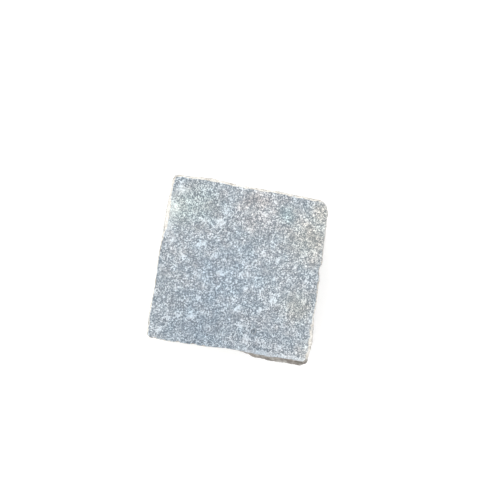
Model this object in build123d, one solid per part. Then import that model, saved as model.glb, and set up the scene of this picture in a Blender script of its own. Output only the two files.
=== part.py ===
from build123d import *

import math
import os
import random

# A block of pressed gymnastics chalk: a hand-sized square cake of magnesium carbonate with a flat top and
# base, uneven sides, rubbed and chipped edges, and harder pale lumps set in the softer pressed powder.
# It lies on its base. +Z is up, +X to the right, +Y to the back, and the origin is under its middle.
# Every length is in millimetres.

HEIGHT = 40.0
BASE_WEAR = 0.9  # how far in, and how high up, the bottom edges are rubbed away
SIDE_WAVE = 0.35  # how far the sides swell and hollow from a true plane
SIDE_LEVELS = (1 / 3, 2 / 3)  # heights at which the sides swell, as shares of HEIGHT
WAVES_ROUND = 9  # swellings in one turn round the block

# The outline seen from above, anticlockwise from the front left corner. Each point has its X and Y, how far
# in the top edge is worn there, and how deep that wear goes. The lower right end of the front is broken off
# in a steep step, and the left and right edges are rubbed wide where they are most handled.
OUTLINE = [
    (-24.6, -24.2, 0.7, 0.6), (-23.5, -25.1, 0.6, 0.6), (-17.5, -25.2, 0.4, 0.4), (-8.0, -24.9, 0.5, 0.4),
    (0.0, -24.5, 0.4, 0.4), (4.8, -24.4, 0.4, 0.5), (7.2, -24.9, 0.6, 1.5), (9.2, -25.6, 1.1, 3.0),
    (13.0, -25.95, 1.5, 4.0), (19.0, -26.05, 1.8, 4.5), (23.0, -25.75, 1.6, 4.0), (24.9, -24.6, 1.1, 2.2),
    (25.3, -21.0, 0.9, 0.9), (25.5, -16.5, 1.3, 1.1), (25.1, -12.3, 1.9, 1.2), (24.7, -10.0, 0.6, 0.6),
    (24.6, -4.0, 0.5, 0.5), (24.4, 0.5, 0.5, 0.5), (23.9, 3.6, 0.6, 0.7), (24.4, 6.0, 0.5, 0.5),
    (24.0, 11.0, 0.5, 0.5), (23.8, 17.0, 0.5, 0.5), (23.6, 21.2, 0.6, 0.6), (22.8, 23.6, 0.8, 0.8),
    (20.8, 24.8, 0.7, 0.7), (9.0, 25.2, 0.8, 0.7), (0.0, 25.1, 0.8, 0.7), (-7.0, 25.3, 0.8, 0.7),
    (-12.5, 25.7, 0.9, 0.8), (-20.0, 25.4, 0.9, 0.8), (-23.7, 25.2, 0.7, 0.7), (-24.5, 24.3, 0.7, 0.7),
    (-24.8, 18.5, 0.9, 0.8), (-25.0, 14.0, 2.0, 1.5), (-25.0, 9.5, 1.7, 1.4), (-24.9, 6.0, 0.5, 0.5),
    (-25.0, 0.0, 0.4, 0.4), (-24.7, -9.0, 0.4, 0.4), (-24.9, -18.0, 0.5, 0.5),
]

# The larger pale lumps of the top face: X, Y, the lump's width, and its length over its width.
TOP_LUMPS = [
    (-21.2, 20.8, 3.2, 1.3), (-12.4, 12.7, 2.9, 1.1), (-8.1, 13.1, 2.8, 1.4), (-6.9, 16.7, 1.8, 1.2),
    (-12.9, 5.7, 2.3, 1.7), (-7.9, 2.9, 1.6, 1.2), (6.1, 5.8, 1.9, 1.5), (11.0, 4.6, 1.8, 1.5),
    (-5.1, -2.0, 2.2, 1.4), (0.9, -1.4, 1.5, 1.5), (10.8, -1.3, 1.5, 1.0), (11.6, -7.6, 2.3, 1.7),
    (2.7, -5.7, 1.6, 1.4), (-11.1, -10.8, 1.7, 1.5), (1.3, -12.0, 2.3, 1.2), (8.0, -11.6, 1.4, 1.7),
    (-12.1, -16.7, 3.3, 1.2), (-16.0, -16.9, 1.9, 1.2), (-18.7, -18.0, 1.6, 1.2), (2.8, -16.5, 2.2, 1.3),
    (5.4, -20.4, 2.8, 1.3), (8.7, -20.4, 1.8, 1.2), (-21.3, -21.9, 1.9, 1.2), (15.4, -21.2, 1.7, 1.3),
    (17.6, 17.2, 1.9, 1.5), (4.6, 17.6, 1.5, 1.4), (16.3, 3.1, 1.6, 1.4), (-17.5, 0.9, 1.6, 1.3),
    (-3.8, 18.1, 1.6, 1.3), (20.9, -6.1, 1.8, 1.2),
]

# Pits in the top face, where the powder has fallen out: X, Y and width.
TOP_PITS = [(-2.9, -14.3, 1.5), (7.3, -17.8, 1.7), (-6.6, -4.4, 1.4), (-8.2, -6.9, 1.1), (13.4, -9.9, 1.0),
            (-5.0, 11.1, 1.2), (14.9, 8.8, 1.1), (0.7, 21.6, 1.1)]
PIT_STRETCH = 1.3  # a pit's length over its width

LUMP_CORNERS = 8
LUMP_RAGGED = 0.22  # how far a lump's corners stray from an ellipse, as a share of its half width
LUMP_DEPTH = 0.55  # how deep a lump is set, as a share of its width
LUMP_TAPER = 0.6  # the width at a lump's deepest point, as a share of its width at the surface
ROOM = 2.0  # how far a lump's shape runs on above the nominal face, so that it meets an uneven one
SIDE_LUMPS = 13
BASE_LUMPS = 16
SIDES = {"right_lumps": (1, 0), "left_lumps": (-1, 0), "back_lumps": (0, 1), "front_lumps": (0, -1)}
LUMP_WIDTHS = (1.5, 3.4)
LUMP_GAP = 1.0  # least distance between two scattered lumps
EDGE_GAP = 4.0  # least distance from a scattered lump to the edges of its face


def inset(points, distances):
    """A closed outline moved inwards, each point by its own distance."""
    moved = []
    for i, (x, y) in enumerate(points):
        (ax, ay), (bx, by) = points[i - 1], points[(i + 1) % len(points)]
        along = math.hypot(bx - ax, by - ay)
        moved.append((x - (by - ay) / along * distances[i], y + (bx - ax) / along * distances[i]))
    return moved


def polygon(corners):
    return Face(Wire.make_polygon(corners, close=True))


def solid_of_rings(rings):
    """A closed solid through rings of points, from its lowest ring to its highest, with flat facets."""
    faces = [polygon(rings[0][::-1]), polygon(rings[-1])]
    for lower, upper in zip(rings, rings[1:]):
        for i in range(len(lower)):
            j = (i + 1) % len(lower)
            faces += [polygon([lower[i], lower[j], upper[j]]), polygon([lower[i], upper[j], upper[i]])]
    return Solid(Shell(faces))


def block_blank():
    """The whole block with its lumps and pits still filled in."""
    outline = [(x, y) for x, y, _, _ in OUTLINE]
    count = len(outline)

    def ring(distances, heights):
        return [(x, y, z) for (x, y), z in zip(inset(outline, distances), heights)]

    rings = [ring([BASE_WEAR] * count, [0.0] * count), ring([0.0] * count, [BASE_WEAR] * count)]
    for level in SIDE_LEVELS:
        turns = [2 * math.pi * WAVES_ROUND * (i / count + level) for i in range(count)]
        rings.append(ring([SIDE_WAVE * math.sin(turn) for turn in turns], [level * HEIGHT] * count))
    rings.append(ring([0.0] * count, [HEIGHT - depth for _, _, _, depth in OUTLINE]))
    rings.append(ring([wear for _, _, wear, _ in OUTLINE], [HEIGHT] * count))
    return solid_of_rings(rings)


def lump_shape(plane, x, y, width, stretch, dice):
    """A tapering many-sided plug, at X and Y of a face's plane, that runs out past the face."""
    turn = dice.uniform(0, math.pi)
    corners = []
    for i in range(LUMP_CORNERS):
        angle = 2 * math.pi * i / LUMP_CORNERS
        reach = width / 2 * (1 + LUMP_RAGGED * dice.uniform(-1, 1))
        across, along = reach * math.cos(angle), reach * stretch * math.sin(angle)
        corners.append((across * math.cos(turn) - along * math.sin(turn),
                        across * math.sin(turn) + along * math.cos(turn)))
    depth = LUMP_DEPTH * width
    growth = 1 + (1 - LUMP_TAPER) * ROOM / depth
    rings = [[plane.from_local_coords((x + a * scale, y + b * scale, z)) for a, b in corners]
             for scale, z in ((LUMP_TAPER, -depth), (growth, ROOM))]
    return solid_of_rings(rings)


def scattered(count, half_x, half_y, dice):
    """Random places for lumps on a face, as X, Y, width and stretch, kept apart from each other."""
    found = []
    while len(found) < count:
        width, stretch = dice.uniform(*LUMP_WIDTHS), dice.uniform(1.0, 1.6)
        x, y = dice.uniform(-half_x, half_x), dice.uniform(-half_y, half_y)
        reach = width * stretch / 2
        if all(math.hypot(x - a, y - b) > reach + w * s / 2 + LUMP_GAP for a, b, w, s in found):
            found.append((x, y, width, stretch))
    return found


def side_plane(outward, across):
    """The plane a side of the block has at one place across it, with the plane's own Y running up."""
    out_x, out_y = outward
    ends = [((-out_y * x + out_x * y), (out_x * x + out_y * y)) for x, y, _, _ in OUTLINE]
    reaches = []
    for (a, reach_a), (b, reach_b) in zip(ends, ends[1:] + ends[:1]):
        if min(a, b) <= across <= max(a, b) and a != b:
            reaches.append(reach_a + (reach_b - reach_a) * (across - a) / (b - a))
    distance = max(reaches)
    return Plane(origin=(out_x * distance, out_y * distance, HEIGHT / 2), x_dir=(-out_y, out_x, 0),
                 z_dir=(out_x, out_y, 0))


def lump_shapes():
    """The lumps of each face before they are trimmed to its surface, by node name."""
    half_x, half_y = (max(abs(point[axis]) for point in OUTLINE) - EDGE_GAP for axis in (0, 1))
    dice = random.Random(7)
    top = Plane.XY.offset(HEIGHT)
    base = Plane(origin=(0, 0, 0), x_dir=(1, 0, 0), z_dir=(0, 0, -1))
    shapes = {"top_lumps": [lump_shape(top, *place, dice) for place in TOP_LUMPS],
              "base_lumps": [lump_shape(base, *place, dice)
                             for place in scattered(BASE_LUMPS, half_x, half_y, dice)]}
    for node, outward in SIDES.items():
        places = scattered(SIDE_LUMPS, half_y, HEIGHT / 2 - EDGE_GAP, dice)
        shapes[node] = [lump_shape(side_plane(outward, place[0]), *place, dice) for place in places]
    return shapes


def pit_shapes():
    """The lumps of powder that have fallen out of the top face."""
    dice = random.Random(11)
    top = Plane.XY.offset(HEIGHT)
    return [lump_shape(top, x, y, width, PIT_STRETCH, dice) for x, y, width in TOP_PITS]


def save(name, solids, shift):
    """Write the solids of one node, moved so that the block stands centred on the origin."""
    moved = [shift * solid for solid in solids]
    export_step(moved[0] if len(moved) == 1 else Compound(children=moved), f"parts/{name}.step")


os.makedirs("parts", exist_ok=True)
blank = block_blank()
lumps = lump_shapes()
middle = blank.bounding_box().center()
to_origin = Pos(-middle.X, -middle.Y, 0)
body = blank
for shapes in [*lumps.values(), pit_shapes()]:
    body = body.cut(*shapes)
save("pressed_body", body.solids(), to_origin)
for node, shapes in lumps.items():
    save(node, [solid for shape in shapes for solid in (blank & shape).solids()], to_origin)
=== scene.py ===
"""The looks of a block of pressed gymnastics chalk, built round its CAD frame.

The cake of pressed powder becomes one closed skin, read off the CAD solids by rays and then roughened, and each
face's pale lumps become ragged closed patches that rise out of that skin. Mesh code works in millimetres, with
X to the right, Y to the back and Z up, and each finished mesh is scaled to metres.
"""

import math

import bmesh
import bpy
from mathutils import Matrix, Vector, noise
from mathutils.bvhtree import BVHTree


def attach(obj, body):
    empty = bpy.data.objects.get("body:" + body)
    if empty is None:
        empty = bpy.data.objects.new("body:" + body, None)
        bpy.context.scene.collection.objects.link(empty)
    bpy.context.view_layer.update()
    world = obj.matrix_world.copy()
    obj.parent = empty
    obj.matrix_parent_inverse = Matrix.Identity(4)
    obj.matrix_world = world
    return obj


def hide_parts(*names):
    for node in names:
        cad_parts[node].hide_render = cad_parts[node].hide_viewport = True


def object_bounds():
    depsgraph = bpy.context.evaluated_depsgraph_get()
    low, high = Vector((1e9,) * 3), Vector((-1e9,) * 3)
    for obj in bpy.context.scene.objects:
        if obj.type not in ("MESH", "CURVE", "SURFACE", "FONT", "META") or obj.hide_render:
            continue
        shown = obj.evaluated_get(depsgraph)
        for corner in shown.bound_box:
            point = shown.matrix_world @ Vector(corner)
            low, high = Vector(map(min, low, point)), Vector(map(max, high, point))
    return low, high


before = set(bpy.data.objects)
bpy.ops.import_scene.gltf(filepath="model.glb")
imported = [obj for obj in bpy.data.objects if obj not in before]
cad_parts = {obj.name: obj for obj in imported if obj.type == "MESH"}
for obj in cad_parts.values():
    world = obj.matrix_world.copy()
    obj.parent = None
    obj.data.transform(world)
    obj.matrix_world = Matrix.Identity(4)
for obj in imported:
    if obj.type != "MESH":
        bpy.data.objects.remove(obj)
cad_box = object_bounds()

MM = 0.001
LOW, HIGH = (Vector(corner) / MM for corner in cad_box)
HALF = (HIGH - LOW) / 2
MIDDLE = (HIGH + LOW) / 2

# The skin's grid: one cell size on the sides and base, and half of it on the top.
CELL = 0.5
EDGE_ZONE = 3.0  # how far the rounding of the grid reaches in from the block's edges
PROBE = 9.0  # how far outside the edge zone's inner limit each ray starts
RUB_PASSES = 2  # smoothing passes that rub the CAD facets' corners off

# The pale lumps' ragged patches.
LUMP_CELL = 0.17
LUMP_RISE = 0.07  # how far a lump stands out of the skin
LUMP_DIVE = 0.3  # how far its border goes under the skin
LUMP_REACH = 1.75  # the sheet's size over the CAD lump's
LUMP_SLIP = 2.5  # how far in or out of a lump's middle the skin can be before it is another side's
OUTWARD = {"top_lumps": (0, 0, 1), "base_lumps": (0, 0, -1), "front_lumps": (0, -1, 0),
           "back_lumps": (0, 1, 0), "left_lumps": (-1, 0, 0), "right_lumps": (1, 0, 0)}

# The broken step at the front right: where along the front it starts, how far in it shows, and its foot.
STEP_START = 2.5
STEP_BACK = LOW.y + 3.2
STEP_FOOT = HIGH.z - 5.5
STEP_LIP = LOW.y + 2.1  # where the lip above it runs, painted pale as a highlight
STEP_LAYER = 1.3  # the height of one of its broken layers
STEP_RIDGE = 0.22  # how far a layer stands out of its middle

# Places on the top where it is worn pale: X, Y, radius, strength.
WORN = [(-24.5, 15.5, 6.0, 1.0), (-25.0, 9.0, 5.0, 1.0), (-21.5, 20.5, 3.5, 0.6), (25.0, -13.0, 3.6, 1.0),
        (25.5, -18.0, 3.4, 1.0), (25.0, -23.0, 3.6, 1.0), (24.0, 23.0, 4.0, 0.7)]

# Faint tints of the top, each with its X, Y, radius and colour: partly the top's own shifts of colour, partly a
# painted shade that darkens it towards the front and front left.
TINTS_AND_SHADE = [(3.0, 20.0, 12.0, (1.14, 1.05, 1.00)), (20.0, 13.0, 13.0, (1.20, 1.11, 0.99)),
         (19.0, -8.0, 8.0, (0.98, 0.94, 0.86)), (11.0, 19.0, 4.5, (0.92, 1.01, 1.00)),
         (-10.0, -20.0, 17.0, (0.78, 0.83, 0.88)), (9.0, -20.0, 15.0, (0.86, 0.87, 0.89)),
         (-4.0, -3.0, 18.0, (0.90, 0.95, 1.00)), (-16.0, 18.0, 10.0, (1.00, 1.03, 0.98)), (-22.5, 14.5, 8.0, (1.18, 1.17, 1.09)),
         (24.0, -21.0, 6.0, (1.15, 1.10, 1.04)), (22.0, 22.0, 6.0, (1.18, 1.10, 1.00))]


SIDE_TINT = (1.0, 0.96, 0.90)


def smooth_step(low, high, value):
    share = min(max((value - low) / (high - low), 0.0), 1.0)
    return share * share * (3 - 2 * share)


def strongest(places, x, y):
    """How strongly the nearest of some round places shows at a point, from 0 to 1."""
    return max(strength * smooth_step(1.0, 0.0, math.hypot(x - a, y - b) / radius)
               for a, b, radius, strength in places)


def tint_and_shade_at(x, y, strength):
    """The tint at a point, with painted shade: the product of the top's tints and painted shade where its strength
    is 1, or the sides' where it is 0.
    """
    tint_and_shade = [1.0 + (1.0 - strength) * (part - 1.0) for part in SIDE_TINT]
    for a, b, radius, colour in TINTS_AND_SHADE:
        share = strength * smooth_step(1.0, 0.0, math.hypot(x - a, y - b) / radius)
        tint_and_shade = [value * (1 + share * (part - 1)) for value, part in zip(tint_and_shade, colour)]
    return (*tint_and_shade, 1.0)


def cad_shape(*nodes):
    """The CAD solids of some nodes as one bmesh, in millimetres."""
    shape = bmesh.new()
    for node in nodes:
        shape.from_mesh(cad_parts[node].data)
    shape.transform(Matrix.Scale(1 / MM, 4))
    return shape


def grid_box():
    """A closed box of square cells, centred on the origin, with finer cells on its top and its broken step."""
    shape = bmesh.new()
    counts = [max(2, round(2 * half / CELL)) for half in HALF]
    corners = {}

    def corner(*steps):
        if steps not in corners:
            place = [half * (2 * step / count - 1) for half, step, count in zip(HALF, steps, counts)]
            corners[steps] = shape.verts.new(place)
        return corners[steps]

    for axis in range(3):
        across, along = (axis + 1) % 3, (axis + 2) % 3
        for end in (0, counts[axis]):
            for i in range(counts[across]):
                for j in range(counts[along]):
                    ring = []
                    for di, dj in ((0, 0), (1, 0), (1, 1), (0, 1)):
                        steps = [0, 0, 0]
                        steps[axis], steps[across], steps[along] = end, i + di, j + dj
                        ring.append(corner(*steps))
                    shape.faces.new(ring if end else ring[::-1])
    shape.normal_update()
    halve_cells(shape, lambda face: face.normal.z > 0.9)
    for _ in range(2):
        halve_cells(shape, lambda face: face.normal.y < -0.9 and step_share(face.calc_center_median() + MIDDLE) > 0)
    return shape


def halve_cells(shape, wanted):
    """Cut each face that is wanted into four."""
    edges = {edge for face in shape.faces if wanted(face) for edge in face.edges}
    bmesh.ops.subdivide_edges(shape, edges=list(edges), cuts=1, use_grid_fill=True)
    shape.normal_update()


def core_of(place):
    """The nearest point to a place on the box inside the edge zone."""
    return Vector(min(max(value, EDGE_ZONE - half), half - EDGE_ZONE) for value, half in zip(place, HALF))


def waves(place, size, seed):
    """Smooth noise from -1 to 1, with features of a size in millimetres. Each seed has its own pattern."""
    return noise.noise(place / size + Vector((0.37 + seed, 0.71 * seed, 0.53 - seed)))


def ledges(height):
    """Where a height counted in layers stands on its layer: from -1 at its foot out to 1, then quickly back."""
    share = height % 1.0
    return smooth_step(0.0, 0.75, share) * smooth_step(1.0, 0.85, share) * 2 - 1


def relief(place, normal, edge, step):
    """How far the pressed powder's surface stands out at a place, in millimetres, how much it is a side, and
    how proud it is among the flakes of the side."""
    side = 1 - smooth_step(0.2, 0.8, abs(normal.z))
    depth = smooth_step(0.0, 9.0, HIGH.z - place.z)
    fine = waves(place, 0.8, 1) + 0.6 * waves(place, 0.4, 2)
    middle = waves(place, 2.4, 3)
    broad = waves(place, 7.0, 4)
    flake = 0.4 - abs(waves(place, 4.0, 5)) - 0.5 * abs(waves(place, 1.8, 6))
    pit = smooth_step(0.38, 0.62, waves(place, 0.95, 7))
    flat = 0.035 * fine + 0.05 * middle + 0.04 * broad - 0.16 * pit
    hewn = 0.2 * middle + 0.45 * broad + 0.6 * flake
    rough = 0.07 * fine + (0.2 + 0.8 * depth) * (hewn - 0.3) - 0.25 * pit
    layers = STEP_RIDGE * ledges(place.z / STEP_LAYER + 0.5 * waves(place, 4.0, 8) + 0.2 * waves(place, 1.1, 14))
    bites = (0.5 * smooth_step(0.12, 0.45, waves(place, 2.6, 9))
             + 0.35 * smooth_step(0.12, 0.45, waves(place, 1.1, 10)))
    rise = flat * (1 - side) + (rough + step * layers) * side - edge * bites
    return rise, side, smooth_step(-0.35, 0.35, hewn)


def step_share(place):
    """How much a place belongs to the broken step, from 0 to 1."""
    along = smooth_step(STEP_START, STEP_START + 4.0, place.x)
    return along * smooth_step(STEP_BACK, STEP_BACK - 1.0, place.y) * smooth_step(STEP_FOOT - 1.5, STEP_FOOT + 1.5, place.z)


def lip_highlight_share(x, y):
    """How much a place of the top belongs to the lip above the broken step, which is painted pale as a highlight,
    from 0 to 1.
    """
    along = smooth_step(STEP_START, STEP_START + 4.0, x)
    drift = 0.8 * waves(Vector((x, 0, 0)), 1.6, 15)
    return along * smooth_step(1.5, 0.5, abs(y - STEP_LIP + drift))


def build_skin():
    """The skin of the whole block: CAD surface points, rubbed smooth, then roughened outward and inward."""
    solids = BVHTree.FromBMesh(cad_shape(*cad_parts))
    shape = grid_box()
    edge_share = []
    for vert in shape.verts:
        core = core_of(vert.co)
        out = (vert.co - core).normalized()
        flat_reach = math.hypot(vert.co.x - core.x, vert.co.y - core.y) / EDGE_ZONE
        tall_reach = abs(vert.co.z - core.z) / EDGE_ZONE
        edge_share.append(min(flat_reach, 1.0) * min(tall_reach, 1.0))
        vert.co = solids.ray_cast(core + out * PROBE + MIDDLE, -out)[0]
    for _ in range(RUB_PASSES):
        bmesh.ops.smooth_vert(shape, verts=shape.verts, factor=0.5, use_axis_x=True, use_axis_y=True,
                              use_axis_z=True)
    shape.normal_update()
    worn = [smooth_step(0.985, 0.9, abs(vert.normal.z)) * smooth_step(0.05, 0.3, share)
            for vert, share in zip(shape.verts, edge_share)]
    crusts = [smooth_step(0.95, 0.75, abs(vert.normal.z)) * smooth_step(0.4, 0.8, share)
              for vert, share in zip(shape.verts, edge_share)]
    steps = [step_share(vert.co) for vert in shape.verts]
    # Painted shade: darkens hollows of the top below its highest level, and the sides more towards the top.
    pit_shades = [smooth_step(0.05, 0.5, HIGH.z - vert.co.z) * smooth_step(0.02, 0.0, share)
            for vert, share in zip(shape.verts, edge_share)]
    reliefs = [relief(vert.co, vert.normal, wear * smooth_step(0.3, 0.6, share), step)
               for vert, wear, share, step in zip(shape.verts, worn, edge_share, steps)]
    for vert, (rise, _, _) in zip(shape.verts, reliefs):
        vert.co += vert.normal * rise
        vert.co.z = max(vert.co.z, LOW.z)
    places = [vert.co.copy() for vert in shape.verts]
    near_top = [smooth_step(HALF.z, HIGH.z - 1.0, z) for _, _, z in places]
    return finished("pressed_block", shape, {
        "side": [side for _, side, _ in reliefs],
        "proud": [proud for _, _, proud in reliefs],
        "rim": [crust * (0.5 + 0.5 * near) for crust, near in zip(crusts, near_top)],
        "pit": [pit * near for pit, near in zip(pit_shades, near_top)],
        # The pale share: worn places and worn edges, plus a painted highlight along the lip above the broken step.
        "pale": [near * max(strongest(WORN, x, y), lip_highlight_share(x, y), 0.6 * wear)
                 for near, wear, (x, y, _) in zip(near_top, worn, places)],
        # The broken step's steep face: a brown stain, darkened further by painted shade.
        "step_stain_and_shade": [step * smooth_step(0.3, 0.6, side) for step, (_, side, _) in zip(steps, reliefs)],
    }, [tint_and_shade_at(x, y, near) for near, (x, y, _) in zip(near_top, places)])


def cad_lumps(node):
    """The separate solids of a node of lumps, each as a list of its corners."""
    shape = cad_shape(node)
    bmesh.ops.remove_doubles(shape, verts=shape.verts, dist=0.001)
    found, seen = [], set()
    for start in shape.verts:
        if start in seen:
            continue
        seen.add(start)
        island, waiting = [], [start]
        while waiting:
            vert = waiting.pop()
            island.append(vert.co.copy())
            for edge in vert.link_edges:
                other = edge.other_vert(vert)
                if other not in seen:
                    seen.add(other)
                    waiting.append(other)
        found.append(island)
    return found


def lump_outline(corners, outward, across, along):
    """A lump's middle at the surface, and its corners round it as angles and reaches, in order."""
    surface = max(corner.dot(outward) for corner in corners)
    rim = [corner for corner in corners if corner.dot(outward) > surface - 0.6]
    middle = sum(rim, Vector()) / len(rim)
    round_it = sorted((math.atan2((corner - middle).dot(along), (corner - middle).dot(across)),
                       (corner - middle).length) for corner in rim)
    return middle, round_it


def reach_at(round_it, angle):
    """How far a lump reaches from its middle at an angle, read between its corners."""
    whole = 2 * math.pi
    turned = [(a - whole, r) for a, r in round_it[-1:]] + round_it + [(a + whole, r) for a, r in round_it[:1]]
    for (a, near), (b, far) in zip(turned, turned[1:]):
        if a <= angle <= b:
            return near + (far - near) * (angle - a) / max(b - a, 1e-6)
    return round_it[0][1]


def add_lump(shape, tree, corners, outward, across, along):
    """A closed ragged lump: an upper sheet that rises out of the skin and dives under it, and one below."""
    middle, round_it = lump_outline(corners, outward, across, along)
    size = max(reach for _, reach in round_it)
    steps = math.ceil(LUMP_REACH * size / LUMP_CELL)
    upper, lower = {}, {}
    for i in range(-steps, steps + 1):
        for j in range(-steps, steps + 1):
            spot = middle + across * (i * LUMP_CELL) + along * (j * LUMP_CELL)
            share = math.hypot(i, j) * LUMP_CELL / reach_at(round_it, math.atan2(j, i))
            share += 0.8 * waves(spot, 0.95, 11) + 0.7 * waves(spot, 0.42, 12)
            if share > LUMP_REACH - 0.25:
                continue
            skin_point = tree.ray_cast(spot + outward * PROBE, -outward)[0]
            if skin_point is None or abs((skin_point - spot).dot(outward)) > LUMP_SLIP:
                continue
            rise = LUMP_RISE - (LUMP_RISE + LUMP_DIVE) * smooth_step(0.55, 1.35, share)
            rise += 0.03 * waves(spot, 0.4, 13)
            upper[i, j] = shape.verts.new(skin_point + outward * rise)
            upper[i, j].co.z = max(upper[i, j].co.z, LOW.z)
            lower[i, j] = shape.verts.new(skin_point - outward * (0.5 + 0.5 * size * smooth_step(1.4, 0.0, share)))
    borders = {}
    for i, j in upper:
        ring = [(i, j), (i + 1, j), (i + 1, j + 1), (i, j + 1)]
        if all(step in upper for step in ring):
            shape.faces.new([upper[step] for step in ring])
            shape.faces.new([lower[step] for step in reversed(ring)])
            for first, second in zip(ring, ring[1:] + ring[:1]):
                borders[first, second] = borders.get((first, second), 0) + 1
    for first, second in borders:
        if (second, first) not in borders:
            shape.faces.new([upper[second], upper[first], lower[first], lower[second]])


def build_lumps(node, tree):
    outward = Vector(OUTWARD[node])
    across = Vector((0, 0, 1)).cross(outward) if outward.z == 0 else Vector((1, 0, 0))
    along = outward.cross(across)
    shape = bmesh.new()
    for corners in cad_lumps(node):
        add_lump(shape, tree, corners, outward, across, along)
    loose = [vert for vert in shape.verts if not vert.link_faces]
    bmesh.ops.delete(shape, geom=loose, context="VERTS")
    places = [vert.co.copy() for vert in shape.verts]
    tinted = 1.0 if outward.z > 0 else 0.0
    return finished("pale_" + node, shape, tints=[tint_and_shade_at(x, y, tinted) for x, y, _ in places])


def finished(name, shape, shares=None, tints=None):
    """A bmesh in millimetres as a smooth-shaded object in metres, with shares and tints stored on its points."""
    shape.transform(Matrix.Scale(MM, 4))
    mesh = bpy.data.meshes.new(name)
    shape.to_mesh(mesh)
    shape.free()
    for polygon in mesh.polygons:
        polygon.use_smooth = True
    for kind, values in (shares or {}).items():
        mesh.attributes.new(kind, "FLOAT", "POINT").data.foreach_set("value", values)
    if tints:
        flat = [part for tint_and_shade in tints for part in tint_and_shade]
        mesh.attributes.new("tint_and_shade", "FLOAT_COLOR", "POINT").data.foreach_set("color", flat)
    thing = bpy.data.objects.new(name, mesh)
    bpy.context.scene.collection.objects.link(thing)
    return thing


# ---- materials ----

def node(tree, kind, inputs=None, **settings):
    made = tree.nodes.new("ShaderNode" + kind)
    for name, value in settings.items():
        setattr(made, name, value)
    for key, value in (inputs or {}).items():
        if isinstance(value, bpy.types.NodeSocket):
            tree.links.new(value, made.inputs[key])
        else:
            made.inputs[key].default_value = value
    return made


def calc(tree, operation, *values):
    return node(tree, "Math", dict(enumerate(values)), operation=operation).outputs[0]


def grains(tree, place, size, seed, detail=2.0, roughness=0.5):
    """Noise from about 0 to 1 with features of a size in millimetres."""
    made = node(tree, "TexNoise", {"Vector": place, "W": seed, "Scale": 1 / size, "Detail": detail,
                                   "Roughness": roughness}, noise_dimensions="4D")
    return made.outputs["Fac"]


def ramp(tree, value, stops):
    """A smooth run of colours by value, given as pairs of a position and a colour."""
    made = node(tree, "ValToRGB", {"Fac": value})
    elements = made.color_ramp.elements
    while len(elements) < len(stops):
        elements.new(1.0)
    for element, (position, colour) in zip(elements, stops):
        element.position = position
        element.color = (*colour, 1.0)
    return made.outputs["Color"]


def blended(tree, share, first, second, kind="MIX"):
    made = node(tree, "Mix", {0: share, 6: first, 7: second}, data_type="RGBA", blend_type=kind)
    return made.outputs[2]


def attribute(tree, name):
    return node(tree, "Attribute", attribute_name=name).outputs["Fac"]


# The chalk's colours by tone, from its darkest grains to its palest. Those of the face are as they look under the
# light that falls on the top, the crust's are the surface's own, and the step's are a brown stain with painted
# shade.
LIGHT = 1.2  # how much light falls on the top, against what shows a white surface as white
FACE_TONES = [(0.0, (0.20, 0.235, 0.27)), (0.2, (0.322, 0.363, 0.401)), (0.4, (0.41, 0.45, 0.49)),
              (0.6, (0.512, 0.557, 0.596)), (0.8, (0.666, 0.721, 0.767)), (1.0, (0.836, 0.904, 0.955))]
CRUST_TONES = [(0.0, (0.34, 0.31, 0.27)), (0.3, (0.52, 0.49, 0.44)), (0.6, (0.74, 0.715, 0.665)),
               (1.0, (0.88, 0.87, 0.83))]
STEP_STAIN_AND_SHADE_TONES = [(0.0, (0.13, 0.115, 0.10)), (0.5, (0.28, 0.255, 0.23)), (0.8, (0.46, 0.44, 0.41)),
              (1.0, (0.70, 0.69, 0.66))]
HUES = [(0.3, (0.955, 1.0, 1.02)), (0.5, (1.0, 1.0, 1.0)), (0.7, (1.035, 0.99, 0.965))]
# The noises that make the grain: size in millimetres, seed, the value below which it is even, and strength.
GRAINS = [(0.28, 1.0, 0.0, 4.4), (0.52, 2.0, 0.0, 1.9), (0.95, 3.0, 0.5, 1.8), (1.9, 4.0, 0.5, 1.5),
          (3.6, 5.0, 0.0, 0.5)]
UNEVEN_BELOW = 0.6  # the size below which a noise is stronger in some places than in others


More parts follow.
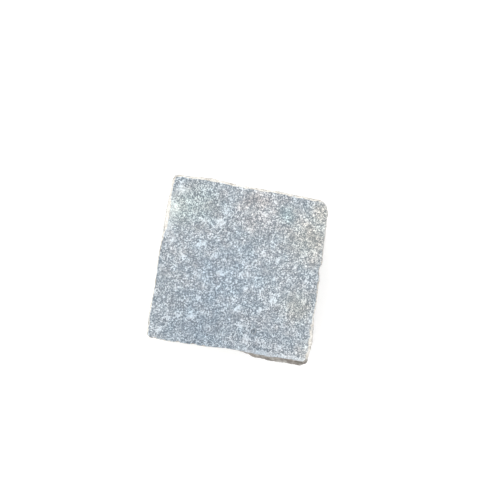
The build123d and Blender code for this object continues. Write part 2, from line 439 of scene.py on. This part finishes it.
def chalk_material(name, base_tone, grain_share):
    material = bpy.data.materials.new(name)
    material.use_nodes = True
    tree = material.node_tree
    tree.nodes.clear()
    position = node(tree, "TexCoord").outputs["Object"]
    place = node(tree, "VectorMath", {0: position, 3: 1 / MM}, operation="SCALE").outputs[0]
    noises = [grains(tree, place, size, seed, 1.0, 0.5) for size, seed, _, _ in GRAINS]
    contrast = calc(tree, "MULTIPLY_ADD", grains(tree, place, 2.4, 9.0), 2.0, -0.1)
    grain = 0.0
    for value, (size, _, least, strength) in zip(noises, GRAINS):
        above = calc(tree, "SUBTRACT", calc(tree, "MAXIMUM", value, least), max(least, 0.5))
        if size < UNEVEN_BELOW:
            above = calc(tree, "MULTIPLY", above, contrast)
        grain = calc(tree, "MULTIPLY_ADD", above, strength * grain_share, grain)
    pale = attribute(tree, "pale")
    smoother = calc(tree, "MULTIPLY_ADD", pale, -0.6, 1.0)
    tone = calc(tree, "MULTIPLY_ADD", grain, smoother, calc(tree, "MULTIPLY_ADD", pale, 0.45, base_tone))
    # Painted shade: the top's hollows, and the sides more towards the top, are darkened.
    tone = calc(tree, "MULTIPLY_ADD", attribute(tree, "pit"), -0.3, tone)
    face_ramp = ramp(tree, tone, [(position, [part / LIGHT for part in colour]) for position, colour in FACE_TONES])
    # The tint carries the top's colour shifts and a painted shade that darkens its front and front left.
    tint_and_shade = node(tree, "Attribute", attribute_name="tint_and_shade").outputs["Color"]
    hue = ramp(tree, grains(tree, place, 4.0, 8.0, 2.0, 0.5), HUES)
    face = blended(tree, 1.0, blended(tree, 1.0, face_ramp, tint_and_shade, "MULTIPLY"), hue, "MULTIPLY")

    rim, side = attribute(tree, "rim"), attribute(tree, "side")
    blotch = calc(tree, "SUBTRACT", grains(tree, place, 5.0, 6.0, 4.0, 0.65), 0.5)
    rim_tone = calc(tree, "MULTIPLY", rim, calc(tree, "MULTIPLY_ADD", side, -0.4, 0.24))
    crust_tone = calc(tree, "MULTIPLY_ADD", grain, 0.4, calc(tree, "ADD", rim_tone, 0.42))
    crust = ramp(tree, calc(tree, "MULTIPLY_ADD", blotch, 0.9, crust_tone), CRUST_TONES)
    dusty = calc(tree, "MULTIPLY_ADD", blotch, 1.6, attribute(tree, "proud"))
    cover = node(tree, "MapRange", {0: dusty, 1: 0.1, 2: 0.9, 3: 0.2, 4: 0.9}).outputs[0]
    ragged = calc(tree, "MULTIPLY_ADD", calc(tree, "SUBTRACT", noises[2], 0.5), 1.2, rim)
    rimmed = node(tree, "MapRange", {0: ragged, 1: 0.3, 2: 0.6}).outputs[0]
    crusted = calc(tree, "MAXIMUM", rimmed, calc(tree, "MULTIPLY", side, cover))
    colour = blended(tree, crusted, face, crust)

    # The broken step's steep face gets a brown stain, darkened further by painted shade, in broken layers.
    flattened = node(tree, "VectorMath", {0: place, 1: (0.6, 0.6, 1.5)}, operation="MULTIPLY").outputs[0]
    strata = grains(tree, flattened, 1.1, 7.0, 2.0, 0.6)
    step_stain_and_shade_tone = calc(tree, "MULTIPLY_ADD", calc(tree, "SUBTRACT", strata, 0.5), 2.6, 0.5)
    step_stain_and_shade = calc(tree, "MULTIPLY_ADD", calc(tree, "SUBTRACT", noises[3], 0.5), 1.5, attribute(tree, "step_stain_and_shade"))
    step_stain_and_shade_share = node(tree, "MapRange", {0: step_stain_and_shade, 1: 0.3, 2: 0.7, 4: 0.9}).outputs[0]
    colour = blended(tree, step_stain_and_shade_share, colour, ramp(tree, step_stain_and_shade_tone, STEP_STAIN_AND_SHADE_TONES))

    rough = calc(tree, "MULTIPLY_ADD", noises[0], 0.2, 0.75)
    height = calc(tree, "MULTIPLY_ADD", calc(tree, "MULTIPLY", noises[2], side), 3.0, noises[0])
    bump = node(tree, "Bump", {"Height": height, "Distance": 0.06 * MM, "Strength": 0.6}).outputs["Normal"]
    shader = node(tree, "BsdfPrincipled", {"Base Color": colour, "Roughness": rough, "Normal": bump,
                                           "Specular IOR Level": 0.25})
    node(tree, "OutputMaterial", {"Surface": shader.outputs[0]})
    return material


# ---- stage ----

FRAME_WIDTH = 0.1509  # how much of the top's plane the camera takes in
LENS = 100.0
SENSOR = 36.0
ROLL = math.radians(9.7)
AIM = Vector((3.0, 6.1, 0.0)) * MM  # the middle of the view, from the block's middle, before the roll


def build_stage():
    shape = bmesh.new()
    bmesh.ops.create_grid(shape, x_segments=1, y_segments=1, size=3000.0)
    floor = finished("floor", shape)
    material = bpy.data.materials.new("pale_floor")
    material.use_nodes = True
    material.node_tree.nodes["Principled BSDF"].inputs["Base Color"].default_value = (0.9, 0.9, 0.9, 1)
    material.node_tree.nodes["Principled BSDF"].inputs["Roughness"].default_value = 0.9
    material.node_tree.nodes["Principled BSDF"].inputs["Emission Color"].default_value = (1, 1, 1, 1)
    material.node_tree.nodes["Principled BSDF"].inputs["Emission Strength"].default_value = 0.2
    floor.data.materials.append(material)


def add_sun(name, strength, spread, azimuth, elevation):
    """Soft light from a direction: azimuth 0 comes from the front, 90 from the right."""
    data = bpy.data.lights.new(name, "SUN")
    data.energy = strength
    data.angle = math.radians(spread)
    lamp = bpy.data.objects.new(name, data)
    flat, tall = math.radians(azimuth), math.radians(elevation)
    source = Vector((math.sin(flat) * math.cos(tall), -math.cos(flat) * math.cos(tall), math.sin(tall)))
    lamp.rotation_euler = source.to_track_quat("Z", "Y").to_euler()
    bpy.context.scene.collection.objects.link(lamp)


def build_light():
    world = bpy.data.worlds.new("studio")
    world.use_nodes = True
    world.node_tree.nodes["Background"].inputs["Color"].default_value = (1, 1, 1, 1)
    world.node_tree.nodes["Background"].inputs["Strength"].default_value = 0.55
    bpy.context.scene.world = world
    bpy.context.scene.view_settings.view_transform = "Standard"
    add_sun("overhead", 1.4, 50, 0, 88)
    add_sun("key", 1.2, 25, 215, 48)
    add_sun("fill", 0.35, 50, 20, 35)


def build_camera():
    data = bpy.data.cameras.new("camera")
    data.lens = LENS
    data.sensor_width = SENSOR
    camera = bpy.data.objects.new("camera", data)
    distance = FRAME_WIDTH * LENS / SENSOR
    turn = Matrix.Rotation(ROLL, 4, "Z")
    aim = turn @ AIM
    camera.location = aim + Vector((0, 0, HIGH.z * MM + distance))
    camera.rotation_euler = (0, 0, ROLL)
    data.clip_end = 100
    bpy.context.scene.collection.objects.link(camera)
    bpy.context.scene.camera = camera


skin = build_skin()
skin.data.materials.append(chalk_material("pressed_chalk_face", 0.20, 1.0))
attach(skin, "root")
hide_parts("pressed_body")

skin_shape = bmesh.new()
skin_shape.from_mesh(skin.data)
skin_shape.transform(Matrix.Scale(1 / MM, 4))
skin_tree = BVHTree.FromBMesh(skin_shape)
lump_face = chalk_material("pale_lump_face", 0.74, 0.5)
for node_name in OUTWARD:
    lumps = build_lumps(node_name, skin_tree)
    lumps.data.materials.append(lump_face)
    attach(lumps, "root")
    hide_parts(node_name)

build_stage()
build_light()
build_camera()
